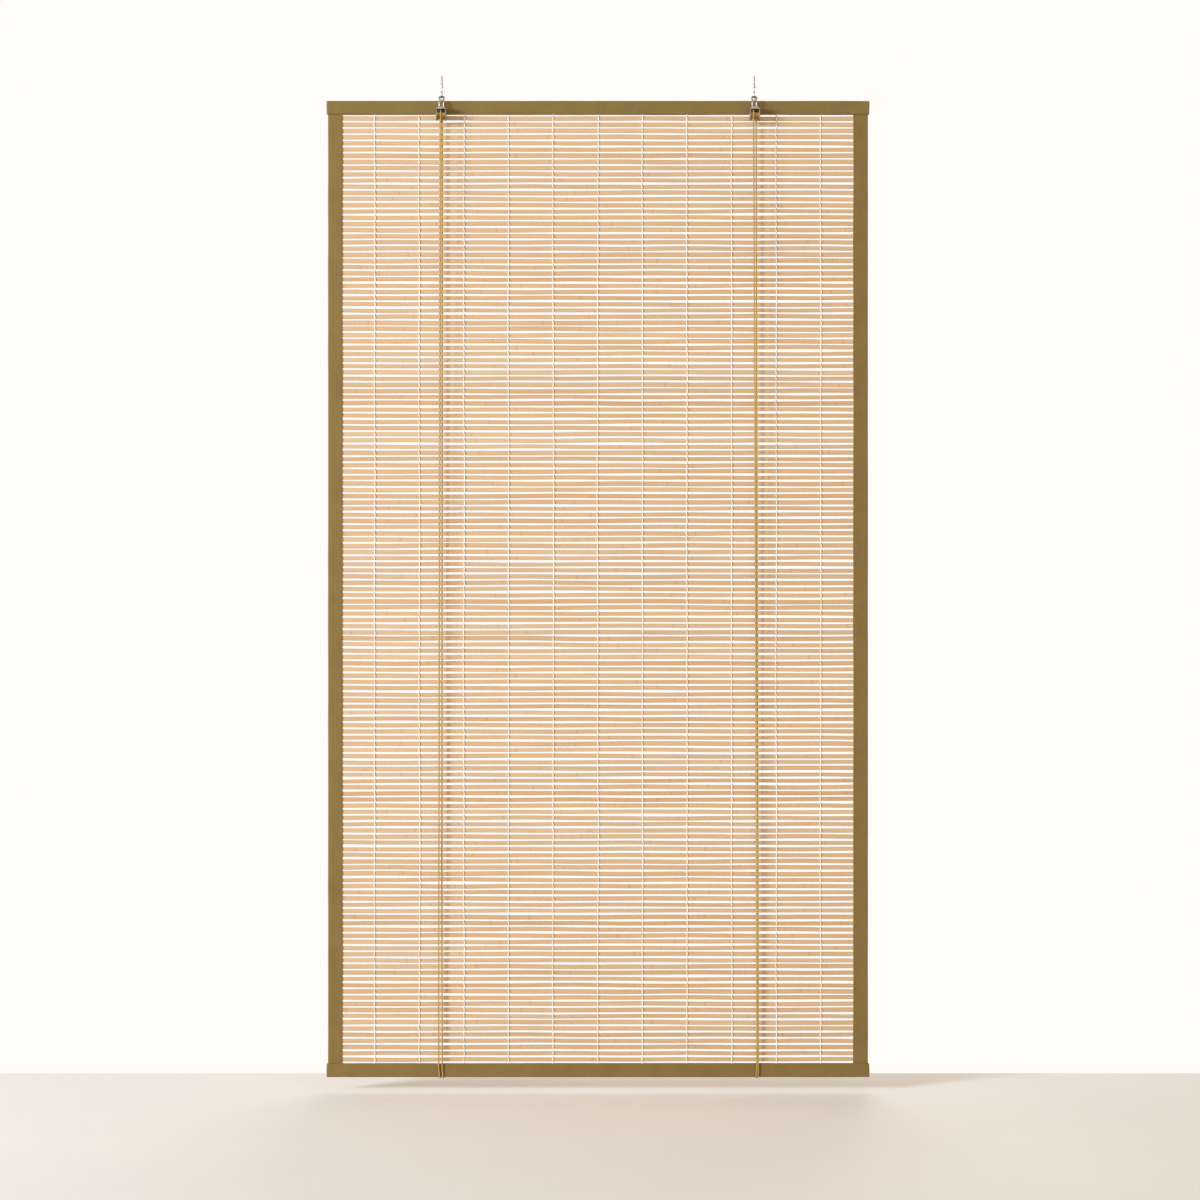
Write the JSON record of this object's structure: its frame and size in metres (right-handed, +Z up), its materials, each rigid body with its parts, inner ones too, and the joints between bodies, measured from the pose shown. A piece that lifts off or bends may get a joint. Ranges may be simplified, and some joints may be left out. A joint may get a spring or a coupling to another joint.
{
  "type": "bamboo roll up blind",
  "caption": "Roll up window blind of flat bamboo slats on white warp threads, with cloth bound edges, cloth covered rails, ceiling hooks, pulleys and lift cords.",
  "frame": {"origin": "on the ceiling plane, midway between the axes of the two screw hooks", "axes": "+X to the right as seen from the room, +Y to the back, away from the room, +Z up along the screws"},
  "size_m": [1, 0.0379, 1.8505],
  "materials": {
    "bamboo": "matt, split bamboo",
    "batten_wood": "raw softwood",
    "cloth": "plain woven cotton tape, olive brown",
    "cotton": "twisted white cotton thread",
    "cord": "braided cord, olive gold",
    "nickel": "nickel plated wire and plate",
    "brass": "dull brass",
    "steel": "plain steel wire"
  },
  "bodies": {
    "ceiling_hooks": {"screw_hook_left": "nickel", "screw_hook_right": "nickel"},
    "blind": {"slat_mat": "bamboo", "warp_thread_01": "cotton", "warp_thread_02": "cotton", "warp_thread_03": "cotton", "warp_thread_04": "cotton", "warp_thread_05": "cotton", "warp_thread_06": "cotton", "warp_thread_07": "cotton", "warp_thread_08": "cotton", "warp_thread_09": "cotton", "warp_thread_10": "cotton", "warp_thread_11": "cotton", "side_binding_left": "cloth", "side_binding_right": "cloth", "top_rail_cover": "cloth", "top_batten": "batten_wood", "bottom_rail_cover": "cloth", "bottom_batten": "batten_wood", "rail_brads_top": "steel", "rail_brads_bottom": "steel", "rail_eye_left": "nickel", "rail_eye_right": "nickel", "pulley_bail_left": "nickel", "pulley_bail_right": "nickel", "pulley_housing_left": "nickel", "pulley_housing_right": "nickel", "pulley_axle_left": "steel", "pulley_axle_right": "steel", "cord_staple_left": "steel", "cord_staple_right": "steel", "cord_knots_left": "cord", "cord_knots_right": "cord", "lift_cord_left": "cord", "lift_cord_right": "cord"},
    "roller_left": {"pulley_roller_left": "brass"},
    "roller_right": {"pulley_roller_right": "brass"}
  },
  "joints": [
    {"name": "blind_swing", "type": "hinge", "parent": "ceiling_hooks", "child": "blind", "pos_m": [0, 0, -0.0143], "axis": [1, 0, 0], "range_deg": [-20, 20]},
    {"name": "roller_spin_left", "type": "hinge", "parent": "blind", "child": "roller_left", "pos_m": [-0.288, -0.0165, -0.0555], "axis": [1, 0, 0], "continuous": true},
    {"name": "roller_spin_right", "type": "hinge", "parent": "blind", "child": "roller_right", "pos_m": [0.288, -0.0165, -0.0555], "axis": [1, 0, 0], "continuous": true}
  ]
}
